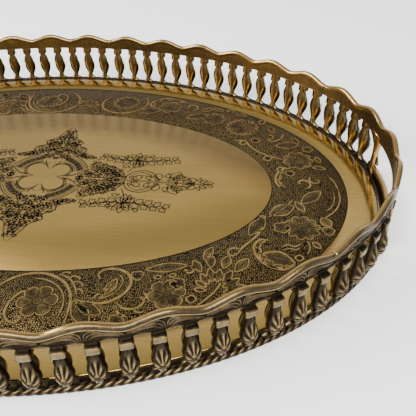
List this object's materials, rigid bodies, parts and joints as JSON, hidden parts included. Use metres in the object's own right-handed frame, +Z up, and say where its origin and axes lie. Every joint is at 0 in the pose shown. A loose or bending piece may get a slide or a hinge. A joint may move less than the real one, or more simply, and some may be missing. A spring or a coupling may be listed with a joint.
{
  "type": "oval gallery tray",
  "caption": "Oval brass serving tray: flat sheet pan inside a pierced cast gallery of balusters under a scalloped rail, with a hand hole at each end.",
  "frame": {"origin": "middle of the tray on the plane of the surface it stands on", "axes": "+X along the long axis, +Z up, out of the tray"},
  "size_m": [0.597, 0.43, 0.0573],
  "materials": {
    "pan_brass": "polished sheet brass with fine straight brushing, a chased floral band on a dark stippled ground and an engraved medallion",
    "gallery_brass": "aged cast brass, dark brown in the recesses and worn bright on the rail, collars and ridges",
    "solder": "dull grey soft solder",
    "fixing_brass": "dull aged brass"
  },
  "bodies": {
    "root": {"pan": "pan_brass", "right_handle_casting": "gallery_brass", "back_right_casting": "gallery_brass", "back_left_casting": "gallery_brass", "left_handle_casting": "gallery_brass", "front_left_casting": "gallery_brass", "front_right_casting": "gallery_brass", "joint_solder": "solder", "pan_studs": "fixing_brass", "stud_nuts": "fixing_brass"}
  },
  "joints": []
}
